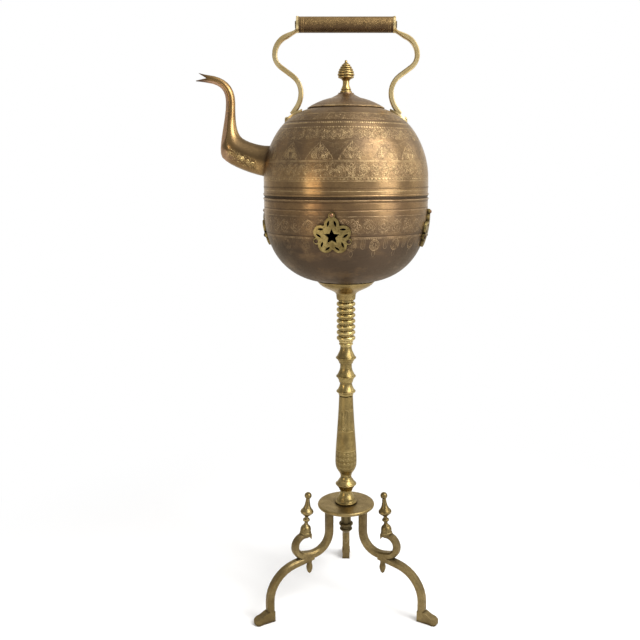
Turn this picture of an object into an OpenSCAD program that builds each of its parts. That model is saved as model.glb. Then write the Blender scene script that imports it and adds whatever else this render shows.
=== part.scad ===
// Spirit kettle on a turned brass stand, in millimetres.
// Origin: on the central axis, at the level of the three soles. +Z is up, the spout points along -X,
// and the front is -Y.

/* [Sheet body] */
// Radius of the kettle and of the bowl below it
body_r = 110; // [104:1:116]
// Thickness of the raised sheet
wall = 1.6; // [1.2:0.1:2.2]
// Straight part of the bowl above its round bottom
bowl_straight = 21.9; // [18:0.1:26]
// Radius of the fuller arc toward the bowl's bottom
belly_r = 78; // [72:1:84]
// Angle below the horizontal at which the bowl's side turns into that arc
belly_start = 25; // [22:1:28]
// Straight part of the kettle below its round shoulder
kettle_straight = 21.4; // [18:0.1:26]
// Height of the shadow line between the bowl and the kettle
seam_gap = 1.7; // [1.2:0.1:2.4]
// How far the rolled rims stand out from the sheet
rim_bead = 1; // [0.6:0.1:1.4]
// Radius of the flatter arc at the top of the shoulder
crown_r = 72; // [68:1:76]
// Angle above the horizontal at which the shoulder turns into that arc
crown_start = 35; // [32:1:38]
// Depth of the pan that closes the kettle and hangs into the bowl
pan_depth = 18; // [12:1:24]

/* [Lid] */
// Radius of the lid's edge
lid_r = 51; // [49:0.5:52]
// Radius of the lid's dome
lid_dome_r = 94; // [88:1:100]
// Height of the flared boss under the lid's knob
lid_boss_h = 4.2; // [3.4:0.1:5]
// Depth of the collar inside the lid
lid_flange_h = 9; // [6:1:11]
// Clearance between the lid's collar and the mouth
lid_clear = 0.7; // [0.6:0.05:0.9]
// Height of the knob on the lid
lid_knob_h = 41.4; // [38:0.2:46]
// Radius of the hinge's barrel
barrel_r = 2.2; // [2:0.1:2.4]
// Radius of the hinge's pin
hinge_pin_r = 1.1; // [0.9:0.1:1.3]
// Length of the whole hinge barrel
barrel_w = 20; // [16:1:24]

/* [Handle] */
// Length of the hand grip
grip_len = 122; // [112:1:130]
// Radius of the hand grip
grip_r = 10; // [9:0.25:10.5]
// Height of the grip's axis above the kettle's mouth
grip_rise = 105.8; // [104:0.2:112]
// Distance of the arms' widest bend from the axis
arm_out = 93; // [90:1:98]
// Height of the widest bend above the mouth
arm_out_rise = 68.2; // [65:0.2:71]
// Distance of the arms' waist from the axis
arm_waist = 59.2; // [58.8:0.2:61]
// Height of the waist above the mouth
arm_waist_rise = 20.5; // [18:0.5:23]
// Width of the arm's bar, seen from the front
arm_w = 6.4; // [5.6:0.2:7.2]
// Depth of the arm's bar, front to back
arm_t = 8.6; // [7:0.2:10]
// Radius of the rod through the grip
handle_rod_r = 3; // [2.5:0.1:3.4]

/* [Spout] */
// Height of the spout's root above the kettle's lower edge
spout_root_rise = 45.7; // [42:0.5:50]
// Height of the spout's root on the wall
spout_root_h = 40; // [36:1:42]
// Thickness of the spout's sheet
spout_wall = 1.5; // [1.2:0.1:1.8]
// Height of the split beak's notch at its tips
beak_gape = 8; // [6.6:0.2:9]

/* [Rosettes] */
// Number of vents with a rosette round the bowl
rosettes = 4; // [4]
// Turn of the first rosette from the front, toward the spout
rosette_turn = 9; // [6:1:14]
// Depth of the rosettes' centres below the end of the bowl's straight part
rosette_drop = 22.2; // [20:0.2:26]
// Reach of the rosette's lobes
rosette_r = 24; // [22:0.5:25]
// Thickness of the cast rosette
rosette_t = 3.2; // [2.4:0.1:4]
// Radius of the vent hole behind each rosette
vent_r = 18; // [16:0.5:18.5]
// Radius of the rivets' shanks
rivet_r = 1.4; // [1.2:0.1:1.6]

/* [Column] */
// Height of the cup under the bowl, at its seat
cup_h = 27.5; // [26:0.5:30]
// Radius of the cup's rim
cup_r = 39.4; // [37:0.2:42]
// Height of the section with the turned rings
ring_section_h = 65; // [58:1:72]
// Number of turned rings in it
turned_rings = 7; // [6:1:8]
// Height of the section with three knops
knop_section_h = 72; // [66:1:78]
// Height of the engraved baluster
baluster_h = 120; // [110:1:130]
// Height of the bell-shaped foot of the column
bell_foot_h = 40; // [36:1:44]
// Largest radius of the turned column
column_r = 15; // [14:0.1:16]
// Radius of the steel rod through the column
rod_r = 3.5; // [3:0.1:3.9]

/* [Base] */
// Height of the three legs
leg_h = 145.5; // [140:0.5:152]
// Thickness of the disc on the legs
disc_t = 5.5; // [4.5:0.1:6.5]
// Radius of that disc
disc_r = 41; // [40:0.5:46]
// Distance of the legs' tops from the axis
leg_root = 28; // [26:0.2:30]
// Distance of the legs' shanks from the axis
leg_reach = 123; // [118:0.5:128]
// Width of a leg's bar in its own plane
leg_w = 10.4; // [9.4:0.1:11.4]
// Thickness of a leg's bar across its plane
leg_t = 11.6; // [10.4:0.2:12.6]
// Length of a foot from heel to toe
foot_len = 30; // [27:0.5:33]
// Height at which a leg's bar levels out and its scroll and arch part
knee_z = 84; // [80:0.5:88]
// Height of the small finials on the legs
leg_finial_h = 61; // [56:1:64]
// Lean of those finials toward the column, in degrees
leg_finial_lean = 5; // [3:0.5:7]
// Height of the turned nut under the disc
base_nut_h = 40; // [36:1:44]

/* [Burner] */
// Widest radius of the spirit burner
burner_r = 34; // [30:1:38]
// Height of the burner's font
burner_h = 32; // [28:1:36]
// Height of the burner's foot above the floor of the bowl
burner_rise = 13.2; // [12:0.1:15]
// Radius of the burner's foot
burner_foot_r = 26.5; // [24:0.5:28]
// Radius of the wick
wick_r = 4.5; // [3.5:0.1:5.5]

/* [Hidden] */
$fn = 96;
fit = 0.1;          // clearance of pieces that are fitted and clamped
run = 0.05;         // running clearance of the hinge pin
rest = 0.3;         // gap under pieces that rest on another body

// Levels, from the floor up
disc_top = leg_h + disc_t;
baluster_z = disc_top + bell_foot_h;
knop_z = baluster_z + baluster_h;
ring_z = knop_z + knop_section_h;
cup_z = ring_z + ring_section_h;
seat_z = cup_z + cup_h;
belly_c = seat_z + belly_r;
bowl_c = belly_c + (body_r - belly_r) * sin(belly_start);
bowl_top = bowl_c + bowl_straight;
kettle_z = bowl_top + seam_gap;
shoulder_c = kettle_z + kettle_straight;

// Centre of the belly's arc, which meets the side's arc without a corner
belly_x = (body_r - belly_r) * cos(belly_start);
belly_join = bowl_c - body_r * sin(belly_start);

// Centre of the crown's arc, which meets the shoulder's arc without a corner
crown_x = (body_r - crown_r) * cos(crown_start);
crown_c = shoulder_c + (body_r - crown_r) * sin(crown_start);
crown_join = shoulder_c + body_r * sin(crown_start);
mouth_r = lid_r - 2.6;
mouth_z = shoulder_z(mouth_r);
lid_z = mouth_z + rest;
rim_t = 1.2;
lid_c = lid_z + rim_t - sqrt(pow(lid_dome_r, 2) - pow(lid_r - 0.6, 2));
lid_top = lid_c + lid_dome_r + lid_boss_h;
collar_t = 1.4;
collar_r = mouth_r - fit;
flange_r = collar_r - collar_t - lid_clear;
hinge_y = lid_r + barrel_r + 0.6;
hinge_z = mouth_z + 1.7;
knuckle = barrel_w / 4;

grip_z = mouth_z + grip_rise;
plate_t = 3.2;
arm_x = grip_len / 2 + fit + plate_t / 2;
handle_bore = handle_rod_r + fit;
washer_r = handle_rod_r + 1.6;

pan_z = bowl_top + rest;
pan_r = body_r - wall - 0.5;
burner_z = seat_z + wall + burner_rise;

rivet_bore = rivet_r + fit;
rosette_rivets_at = [[90, rosette_r + 1.4], [198, rosette_r - 3.2], [342, rosette_r - 3.2]];
rosette_lean = asin(rosette_drop / body_r);
// The rosettes are cast to a ball just large enough that their upper ears clear the straight wall
rosette_ear = 4;
ear_above = max(0, asin((rosette_r + 1.4 + rosette_ear) / body_r) - rosette_lean);
rosette_seat = (body_r + fit) / cos(ear_above);

// Height of the outside of the shoulder at radius r
function shoulder_z(r) = r > body_r * cos(crown_start)
    ? shoulder_c + sqrt(pow(body_r, 2) - pow(r, 2))
    : crown_c + sqrt(pow(crown_r, 2) - pow(r - crown_x, 2));

// Height of the bowl's floor at radius r, inside its sheet
function floor_z(r) = r < belly_x ? seat_z + wall : belly_c - sqrt(pow(belly_r - wall, 2) - pow(r - belly_x, 2));

// Radius of the outside of the kettle at height z, below the crown
function kettle_radius(z) = z < shoulder_c ? body_r : sqrt(pow(body_r, 2) - pow(z - shoulder_c, 2));

function along(a, b, t) = a + (b - a) * t;
function bezier(p, t) = pow(1 - t, 3) * p[0] + 3 * pow(1 - t, 2) * t * p[1]
    + 3 * (1 - t) * pow(t, 2) * p[2] + pow(t, 3) * p[3];

BODY = "#7d6647";
BRASS = "#b39a5c";
BRIGHT = "#c9ab5e";
BRONZE = "#66503a";
DARK = "#4a4136";
STEEL = "#8a8d90";
COTTON = "#e6e0d2";

// Turning helpers

// A turned solid from its half profile, with a bore up its axis
module turned(bore = 0) {
    rotate_extrude() difference() {
        children();
        if (bore > 0) translate([-1, -500]) square([bore + 1, 2000]);
    }
}

// Half profile of a round moulding: its largest radius r at height z, e the radius of its edge
module bead(z, r, e) {
    intersection() {
        translate([r - e, z]) circle(e, $fn = 48);
        translate([0, z - e]) square([r + e, 2 * e]);
    }
    translate([0, z - e]) square([r - e, 2 * e]);
}

// Half profile that joins the given points to the axis
module profile(points) {
    last = len(points) - 1;
    polygon(concat([[0, points[0][1]]], points, [[0, points[last][1]]]));
}

// Half profile of a knop: a hollow flare of height up that widens to a sharp round rim, and a short
// underside of height down that ends in a collar
module knop(z, r, up, down, neck) {
    e = 1.3;
    flare = [[r - e, z + e * 0.8], [r - 3, z + up * 0.42], [neck + 0.6, z + up * 0.62], [neck, z + up]];
    profile(concat(
        [[neck, z - down], [neck + 1.6, z - down + 0.2], [neck + 1.8, z - down + 1.8], [r - e, z - e * 0.8]],
        curve(flare, 6)
    ));
    bead(z, r, e);
}

// Points along a Bezier curve, in the given number of steps
function curve(p, n) = [for (k = [0:n]) bezier(p, k / n)];

// A bar's centre line in the XZ plane as stations [x, z, heading, width]. Each step is
// [length, 0, width at its end] or [radius, turn, width at its end], and a left turn is positive
function step_end(s, step, share) = let (
    h = s[2],
    w = along(s[3], step[2], share)
) step[1] == 0
    ? [s[0] + step[0] * share * cos(h), s[1] + step[0] * share * sin(h), h, w]
    : let (r = sign(step[1]) * step[0], h2 = h + step[1] * share)
        [s[0] + r * (sin(h2) - sin(h)), s[1] + r * (cos(h) - cos(h2)), h2, w];

function stations(s, steps, i = 0) = i == len(steps) ? [s] : let (
    n = steps[i][1] == 0 ? 1 : ceil(abs(steps[i][1]) / 10)
) concat([for (k = [0:n - 1]) step_end(s, steps[i], k / n)], stations(step_end(s, steps[i], 1), steps, i + 1));

// Section of a cast bar, w wide in the plane and t thick across it, with its corners taken off by c
function bar_section(w, t, c) = [
    [w / 2, c - t / 2], [w / 2, t / 2 - c], [w / 2 - c, t / 2], [c - w / 2, t / 2],
    [-w / 2, t / 2 - c], [-w / 2, c - t / 2], [c - w / 2, -t / 2], [w / 2 - c, -t / 2]
];

// The bar itself: its section carried along the stations
module bar(line, t, c) {
    last = len(line) - 1;
    points = [for (s = line, p = bar_section(s[3], t, c)) [s[0] - p[0] * sin(s[2]), p[1], s[1] + p[0] * cos(s[2])]];
    polyhedron(points, concat(
        [[for (k = [7:-1:0]) k], [for (k = [0:7]) last * 8 + k]],
        [for (j = [0:last - 1], k = [0:7]) let (k2 = (k + 1) % 8) [j * 8 + k, j * 8 + k2, (j + 1) * 8 + k2, (j + 1) * 8 + k]]
    ), convexity = 4);
}

// Base

module base_disc() {
    bead_r = disc_t / 2;
    color(BRASS) difference() {
        turned(rod_r + fit) {
            translate([0, leg_h]) square([disc_r - bead_r, disc_t]);
            bead(leg_h + bead_r, disc_r, bead_r);
        }
        for (a = [90, 210, 330])
            rotate(a) translate([leg_root, 0, leg_h - 1]) cylinder(r = tenon_r + fit, h = tenon_h + 1 + fit);
    }
}

tenon_r = 3;
tenon_h = disc_t - 2;

// One leg, in the XZ plane with its foot toward +X: the bar from the disc that runs into the scroll,
// the arch that leaves it at the crossing, the pendant below the crossing and the foot
bend_r = 29;
drop = leg_h - knee_z - bend_r;
scroll_r = 15.3;
scroll_w = leg_w - 3.2;
chamfer = 2.2;
arch_r = 47.5;
arch_dip = 11;
crossing = [leg_root + bend_r, knee_z];
upper_line = stations([leg_root, leg_h, -90, leg_w],
    [[drop, 0, leg_w], [bend_r, 90, leg_w], [50, 12, leg_w], [3.4, 0, leg_w], [scroll_r, 184, scroll_w]]);
arch_start = crossing + [-1.8, -2.6];
arch_straight = (leg_reach - arch_start[0] - arch_r * (1 - sin(arch_dip))) / cos(arch_dip);
ankle_z = arch_start[1] - arch_straight * sin(arch_dip) - arch_r * cos(arch_dip);
scroll_top = crossing + [9.5, 31.4];
finial_seat = scroll_top + [0, scroll_w / 2 - 0.6];

module leg() {
    arch_line = stations([arch_start[0], arch_start[1], -arch_dip, leg_w], [
        [arch_straight, 0, leg_w], [arch_r, arch_dip - 90, leg_w], [ankle_z - foot_top / 2, 0, leg_w]
    ]);
    color(BRASS) difference() {
        union() {
            bar(upper_line, leg_t, chamfer);
            bar(arch_line, leg_t - 0.1, chamfer);
            translate([leg_root, 0, leg_h - 3]) cylinder(r = tenon_r, h = tenon_h + 3);
            scroll_tip();
            pendant();
            foot();
        }
        finial_axis() translate([0, 0, -9]) cylinder(r = 2 + fit, h = 20);
        finial_axis() cylinder(r = 10, h = 12);
    }
}

module finial_axis() {
    translate([finial_seat[0], 0, finial_seat[1]]) rotate([0, -leg_finial_lean, 0]) children();
}

// Block under the small finial, with the scroll's pointed tip on its inner side
module scroll_tip() {
    tip = [[7.4, 1], [7.6, -2.4], [3, -4.8], [-1.6, -4.2], [-5, -5.6], [-7.6, -9], [-8.2, -4], [-7.6, 1]];
    rotate([90, 0, 0]) translate([finial_seat[0], finial_seat[1], 0])
        linear_extrude(leg_t - 2.2, center = true) polygon(tip);
    finial_axis() translate([0, 0, -2.4]) cylinder(r = 8, h = 2.4);
}

module pendant() {
    z = crossing[1];
    translate([crossing[0] + 3.6, 0, 0]) turned()
        profile([[0.6, z - 28.4], [3, z - 25.5], [4.4, z - 21], [4.6, z - 17.5], [3.4, z - 12], [4.2, z - 8], [4.2, z - 4]]);
}

// The foot is the side view and the top view of a slipper, cut from one block
foot_top = 15.5;
toe_r = 6.6;

module foot() {
    heel = leg_reach - leg_w / 2;
    instep = heel + leg_w;
    toe = heel + foot_len;
    intersection() {
        rotate([90, 0, 0]) linear_extrude(3 * toe_r, center = true) polygon([
            [heel, 0], [toe - 3, 0], [toe - 0.6, 2.2], [toe, 4.8], [toe - 1.2, 7.2], [toe - 5, 8.8],
            [toe - 11, 11], [instep + 2.6, foot_top - 1.2], [instep, foot_top], [heel, foot_top]
        ]);
        linear_extrude(foot_top + 1) union() {
            translate([toe - toe_r, 0]) circle(toe_r, $fn = 48);
            polygon([
                [heel, -leg_t / 2], [instep, -leg_t / 2], [toe - 2 * toe_r, -leg_t / 2], [toe - toe_r, -toe_r],
                [toe - toe_r, toe_r], [toe - 2 * toe_r, leg_t / 2], [instep, leg_t / 2], [heel, leg_t / 2]
            ]);
        }
    }
}

module leg_left() rotate(210) leg();
module leg_right() rotate(330) leg();
module leg_rear() rotate(90) leg();

// Small turned finial on the scroll of a leg: helmet, knob, bulb and ball
module leg_finial() {
    s = leg_finial_h / 60;
    color(BRASS) finial_axis() {
        translate([0, 0, -7]) cylinder(r = 2, h = 8);
        turned() {
            profile([
                [8, 0], [8.2, 2.4 * s], [7.2, 3 * s], [7.6, 4.6 * s], [7.4, 7.6 * s], [6.2, 10.6 * s],
                [3.6, 13 * s], [2.6, 15 * s], [2.6, 23 * s]
            ]);
            bead(20 * s, 5, 2.4 * s);
            profile([
                [2.8, 22 * s], [2.6, 25 * s], [5.4, 27.2 * s], [8.6, 30 * s], [9.3, 32 * s], [8.6, 34 * s],
                [6, 37 * s], [4.2, 41 * s], [3.2, 46 * s], [2.6, 52 * s]
            ]);
            translate([0, leg_finial_h - 5]) intersection() {
                circle(5, $fn = 64);
                translate([0, -5]) square([5, 10]);
            }
        }
    }
}

module leg_finial_left() rotate(210) leg_finial();
module leg_finial_right() rotate(330) leg_finial();
module leg_finial_rear() rotate(90) leg_finial();

// Turned nut with two rings that draws the column down on the disc
module base_nut() {
    z = leg_h - base_nut_h;
    color(DARK) difference() {
        turned() {
            profile([[4.6, z], [6.8, z + 2.4], [7.6, z + 7], [7.2, z + 16], [7.4, leg_h - 12], [8.6, leg_h - 6], [8.6, leg_h]]);
            bead(z + 4.8, 9.2, 1.7);
            bead(z + 12.4, 10.2, 2.2);
        }
        translate([0, 0, z + 3]) cylinder(r = rod_r + fit, h = base_nut_h);
    }
}

// Column

module bell_foot() {
    h = bell_foot_h;
    color(BRASS) translate([0, 0, disc_top]) turned(rod_r + fit) {
        bead(1.8, column_r + 0.8, 1.8);
        profile(concat([[column_r - 1, 0], [column_r - 1.2, 3.6]],
            curve([[column_r - 2, 5], [column_r - 2.4, h * 0.26], [8.2, h * 0.3], [8, h * 0.5]], 6)));
        knop(h * 0.72, column_r, h * 0.27, h * 0.24, 7.8);
        bead(h * 0.86, 10.6, 1.3);
    }
}

module baluster() {
    h = baluster_h;
    swell = column_r + 0.3;
    color(BRASS) translate([0, 0, baluster_z]) turned(rod_r + fit) {
        profile(concat(
            curve([[7.8, 0], [8, h * 0.075], [swell, h * 0.07], [swell, h * 0.19]], 8),
            curve([[swell, h * 0.19], [swell, h * 0.38], [11.6, h * 0.6], [9.8, h]], 8)
        ));
    }
}

module knop_section() {
    h = knop_section_h;
    color(BRASS) translate([0, 0, knop_z]) turned(rod_r + fit) {
        profile([[9.8, 0], [8.3, 1], [8.3, h * 0.5], [8, h]]);
        knop(h * 0.10, column_r - 1.4, h * 0.15, h * 0.08, 8.6);
        bead(h * 0.29, 9.6, 1.2);
        knop(h * 0.405, column_r - 1.1, h * 0.17, h * 0.11, 8.3);
        knop(h * 0.775, column_r - 0.7, h * 0.19, h * 0.11, 8.1);
    }
}

module ring_section() {
    h = ring_section_h;
    pitch = (h - 9) / turned_rings;
    color(BRASS) translate([0, 0, ring_z]) turned(rod_r + fit) {
        profile([[8, 0], [8.2, 4], [10.1, 7], [10.1, h]]);
        bead(3.5, 9.8, 1.5);
        for (i = [0:turned_rings - 1]) bead(8 + pitch * (i + 0.5), column_r - 1.9, pitch * 0.4);
    }
}

// Funnel-shaped cup that widens to a thin rim under the flat of the bowl
module cup() {
    h = cup_h;
    flare = [[13.4, h * 0.3], [14.4, h * 0.52], [cup_r - 6, h * 0.62], [cup_r - 1, h * 0.93]];
    color(BRASS) translate([0, 0, cup_z]) turned(rod_r + fit)
        profile(concat([[10.9, 0], [12.8, 1.6], [13.4, h * 0.22]], curve(flare, 8), [[cup_r, h * 0.96], [cup_r, h]]));
}

module tie_rod() {
    z = leg_h - base_nut_h + 3.5;
    color(STEEL) translate([0, 0, z]) cylinder(r = rod_r, h = seat_z + wall + 9.5 - z);
}

// Flanged nut on the rod, inside the bowl
module bowl_nut() {
    color(STEEL) translate([0, 0, seat_z + wall]) difference() {
        union() {
            cylinder(r = 3.3 * rod_r, h = 1.6);
            cylinder(r = 2.1 * rod_r, h = 8, $fn = 6);
        }
        translate([0, 0, -1]) cylinder(r = rod_r + fit, h = 12);
    }
}

// Bowl

// Half profile of the bowl's solid shape, its sheet face moved inward by inset
module bowl_outline(inset) {
    translate([0, bowl_c]) square([body_r - inset, bowl_straight]);
    intersection() {
        translate([0, bowl_c]) circle(body_r - inset, $fn = 192);
        translate([0, belly_join]) square([body_r, bowl_c - belly_join + bowl_straight / 2]);
    }
    intersection() {
        union() {
            translate([belly_x, belly_c]) circle(belly_r - inset, $fn = 192);
            translate([0, seat_z + inset]) square([belly_x, belly_join - seat_z - inset + 9]);
        }
        translate([0, seat_z + inset - 1]) square([body_r, belly_join - seat_z - inset + 9]);
    }
}

module bowl() {
    bead_z = bowl_top - 1.5;
    color(BODY) difference() {
        rotate_extrude($fn = 192) {
            difference() {
                bowl_outline(0);
                bowl_outline(wall);
            }
            translate([body_r + rim_bead - 1.5, bead_z]) circle(1.5, $fn = 48);
            translate([body_r - wall, bowl_top - 3]) square([wall + rim_bead - 1.5, 3]);
        }
        translate([0, 0, seat_z - 1]) cylinder(r = rod_r + fit, h = wall + 2);
        for (i = [0:rosettes - 1]) on_bowl(i) {
            translate([0, 0, body_r - 20]) cylinder(r = vent_r, h = 30);
            rivet_places() translate([0, 0, body_r - 5]) cylinder(r = rivet_bore, h = 10);
        }
    }
}

// Turns local +Z to point out of the bowl at the centre of rosette i, with local -X up
module on_bowl(i) {
    az = -90 - rosette_turn + i * 360 / rosettes;
    translate([0, 0, bowl_c]) rotate(az) rotate([0, 90 + rosette_lean, 0]) children();
}

module rivet_places() {
    for (p = rosette_rivets_at) rotate(90 + p[0]) rotate([0, asin(p[1] / body_r), 0]) children();
}

// Outline of one rosette: five lobes, three ears for the rivets, a star and ten leaf-shaped slots
module rosette_outline() {
    lobe = rosette_r * 0.385;
    star = rosette_r * 0.42;
    difference() {
        union() {
            circle(rosette_r * 0.7, $fn = 64);
            for (k = [0:4]) rotate(90 + k * 72) translate([rosette_r - lobe, 0]) circle(lobe, $fn = 64);
            for (p = rosette_rivets_at) rotate(p[0]) translate([p[1], 0]) circle(rosette_ear, $fn = 48);
        }
        rotate(90) polygon([for (k = [0:9]) (k % 2 == 0 ? star : star * 0.48) * [cos(k * 36), sin(k * 36)]]);
        for (k = [0:4], side = [-1, 1])
            rotate(90 + k * 72) translate([rosette_r * 0.67, side * 4.3]) rotate(-side * 17) leaf_slot(8, 2.8);
    }
}

// Lens-shaped slot: two equal arcs that meet in points
module leaf_slot(length, width) {
    r = (pow(length / 2, 2) + pow(width / 2, 2)) / width;
    intersection() {
        translate([0, r - width / 2]) circle(r, $fn = 64);
        translate([0, width / 2 - r]) circle(r, $fn = 64);
    }
}

module rosette(i) {
    color(BRIGHT) difference() {
        intersection() {
            on_bowl(i) translate([0, 0, body_r - 12]) rotate(90) linear_extrude(24) rosette_outline();
            translate([0, 0, bowl_c]) difference() {
                sphere(rosette_seat + rosette_t, $fn = 192);
                sphere(rosette_seat, $fn = 192);
            }
        }
        on_bowl(i) rivet_places() translate([0, 0, body_r - 5]) cylinder(r = rivet_bore, h = 20);
    }
}

module rosette_front() rosette(0);
module rosette_right() rosette(1);
module rosette_rear() rosette(2);
module rosette_left() rosette(3);

// A rivet along +Z whose head lies on a plate of thickness grip on the sheet's outside
module rivet(grip) {
    head_r = rivet_r * 1.9;
    translate([0, 0, -wall - 1]) cylinder(r = rivet_r, h = wall + grip + 1.6);
    translate([0, 0, -wall - 1.3]) cylinder(r = head_r, h = 1.1);
    translate([0, 0, grip + 0.15]) intersection() {
        translate([0, 0, -1.1]) sphere(head_r * 1.08, $fn = 48);
        cylinder(r = head_r, h = 3);
    }
}

module rosette_rivets() {
    color(BRASS) for (i = [0:rosettes - 1]) on_bowl(i) rivet_places()
        translate([0, 0, body_r]) rivet(rosette_seat - body_r + rosette_t);
}

// Spirit burner

// Ring with a floor, riveted to the bowl's bottom, that holds the burner by its foot
module burner_seat() {
    inner = burner_foot_r + 0.5;
    outer = inner + 2;
    z = floor_z(outer) + fit;
    color(BODY) difference() {
        translate([0, 0, z]) cylinder(r = outer, h = burner_z + 4 - z);
        translate([0, 0, burner_z - rest]) cylinder(r = inner, h = 20);
        translate([0, 0, z - 1]) cylinder(r = inner - 1, h = burner_z - rest - 1.6 - z + 1);
        translate([0, 0, z]) cylinder(r = inner - 9, h = 20);
    }
}

module burner_font() {
    h = burner_h;
    color(BRASS) translate([0, 0, burner_z]) turned() difference() {
        profile([
            [burner_foot_r, 0], [burner_foot_r, 5], [burner_r - 2.4, 9], [burner_r, 13], [burner_r, h - 15],
            [burner_r - 2.4, h - 9], [burner_r - 9, h - 4], [14, h - 0.6], [10, h]
        ]);
        translate([-1, h - 9]) square([wick_r + 1 + fit, 12]);
    }
}

module burner_collar() {
    color(BRIGHT) translate([0, 0, burner_z + burner_h]) turned(wick_r + fit)
        profile([[9.6, 0], [9.6, 2], [8, 2.6], [8, 7], [6.4, 8.4]]);
}

module burner_wick() {
    color(COTTON) translate([0, 0, burner_z + burner_h - 8.8]) cylinder(r = wick_r, h = 20);
}

// Kettle

// Half profile of the kettle's solid shape, its sheet face moved inward by inset
module kettle_outline(inset) {
    translate([0, kettle_z]) square([body_r - inset, kettle_straight]);
    intersection() {
        translate([0, shoulder_c]) circle(body_r - inset, $fn = 192);
        translate([0, shoulder_c - kettle_straight / 2]) square([body_r, crown_join - shoulder_c + kettle_straight / 2]);
    }
    intersection() {
        union() {
            translate([crown_x, crown_c]) circle(crown_r - inset, $fn = 192);
            translate([0, crown_join - 9]) square([crown_x, crown_c + crown_r - inset - crown_join + 9]);
        }
        translate([0, crown_join - 8]) square([body_r, crown_r]);
    }
}

module kettle_shell() {
    color(BODY) difference() {
        rotate_extrude($fn = 192) difference() {
            union() {
                kettle_outline(0);
                translate([body_r + rim_bead - 1.6, kettle_z + 2.6]) circle(1.6, $fn = 48);
                translate([body_r - 0.3, kettle_z + 12]) circle(0.8, $fn = 32);
            }
            kettle_outline(wall);
            translate([0, kettle_z - 1]) square([body_r - wall, 3]);
            translate([0, mouth_z - 30]) square([mouth_r, 60]);
        }
        translate([-body_r - 5, 0, kettle_z + spout_root_rise]) rotate([0, 90, 0]) cylinder(r = 12.5, h = 30);
        ear_rivet_places() translate([0, 0, -8]) cylinder(r = rivet_bore, h = 20);
    }
}

// Pan that closes the kettle: its flange lies on the bowl's rim and its skirt hangs inside the bowl
module kettle_base() {
    floor_z = kettle_z - pan_depth;
    corner = 8;
    color(BODY) rotate_extrude($fn = 192) {
        translate([pan_r - wall, floor_z + corner]) square([wall, kettle_z - floor_z - corner]);
        translate([pan_r - wall, pan_z]) square([body_r - 0.6 - pan_r + wall, kettle_z - pan_z]);
        intersection() {
            translate([pan_r - corner, floor_z + corner]) difference() {
                circle(corner, $fn = 64);
                circle(corner - wall, $fn = 64);
            }
            translate([pan_r - corner, floor_z]) square(corner);
        }
        translate([0, floor_z]) square([pan_r - corner, wall]);
    }
}

module mouth_ring() {
    h = 11;
    color(BODY) translate([0, 0, mouth_z - h]) difference() {
        cylinder(r = collar_r, h = h);
        translate([0, 0, -1]) cylinder(r = collar_r - collar_t, h = h + 2);
        translate([0, hinge_y, h + 1.7]) rotate([0, 90, 0]) cylinder(r = barrel_r + 0.6, h = barrel_w + 2, center = true);
    }
}

// Spout: a loft between its outer edge, from below the root round the elbow to the lower tip of the
// beak, and its inner edge, from above the root to the upper tip. Points are [x, z] from the place
// where the kettle's lower edge meets the wall
spout_o = [-body_r, kettle_z];
root_lo = spout_root_rise - spout_root_h / 2;
root_hi = spout_root_rise + spout_root_h / 2;
neck_z = 121.4;
neck_out = [-48.4, neck_z];
neck_in = [-36, neck_z];
elbow_out = [-55.2, 50.4];
elbow_in = [-28, 75.7];
throat_out = [-71, 146.2];
throat_in = [-71, 156.3];
lower_tip = throat_out + [-16, 2];
upper_tip = throat_in + [-11.4, 2.4];
outer_edge = [
    [[0, root_lo], [-18, root_lo + 3.7], [-46, 39.4], elbow_out],
    [elbow_out, elbow_out + [-7, 10], neck_out - [0, 22], neck_out],
    [neck_out, neck_out + [0, 14], throat_out + [18, -2.3], throat_out],
    [throat_out, throat_out + [-5, 0.9], throat_out + [-10, 1.7], lower_tip]
];
inner_edge = [
    [[5, root_hi], [0, root_hi], [-18, root_hi + 2.7], elbow_in],
    [elbow_in, elbow_in + [-8.5, 7], neck_in - [0.6, 22], neck_in],
    [neck_in, neck_in + [0, 21], throat_in + [23, -2.3], throat_in],
    [throat_in, throat_in + [-4, 0.5], throat_in + [-8, 1.4], upper_tip]
];
rings_per_part = [7, 8, 8, 4];
sides = 20;

function ring_of(part, t) = let (
    o = bezier(outer_edge[part], t),
    i = bezier(inner_edge[part], t),
    ridged = part == 0 ? pow(t, 2) : 1
) [o, i, ridged];

spout_rings = [
    for (part = [0:3], k = [(part == 0 ? 0 : 1):rings_per_part[part]]) ring_of(part, k / rings_per_part[part])
];

// Point of the section at angle a, as shares of its half height and half width. The inner side is
// round. The outer side is drawn flat from a ridge on each flank, as far as ridged says
function section_point(a, ridged) = let (
    s = abs(a) <= 100 ? 0 : (abs(a) - 100) / 80,
    flat = [along(cos(100), -1, s), sign(a) * along(sin(100), 0.22, s) * (s > 0.99 ? 0 : 1)],
    round_point = [cos(a), sin(a)]
) abs(a) <= 100 ? round_point : round_point + (flat - round_point) * ridged * 0.75;

function spout_loop(ring, inset) = let (
    o = ring[0], i = ring[1], c = (o + i) / 2, half = norm(i - o) / 2,
    dir = (i - o) / (2 * half), tall = half - inset,
    wide = min(half * 0.92, 17) - inset
) [for (k = [0:sides - 1]) let (
    a = k * 360 / sides > 180 ? k * 360 / sides - 360 : k * 360 / sides,
    p = section_point(a, ring[2])
) [c[0] + dir[0] * tall * p[0], wide * p[1], c[1] + dir[1] * tall * p[0]]];

// The root's loop lies on the kettle's wall, the fit clear of it
function on_wall(p) = [
    -sqrt(pow(kettle_radius(p[2] + spout_o[1]), 2) - pow(p[1], 2)) - fit - spout_o[0], p[1], p[2]
];

function loops(inset) = [for (n = [0:len(spout_rings) - 1])
    let (loop = spout_loop(spout_rings[n], inset)) n == 0 ? [for (p = loop) on_wall(p)] : loop];

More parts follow.
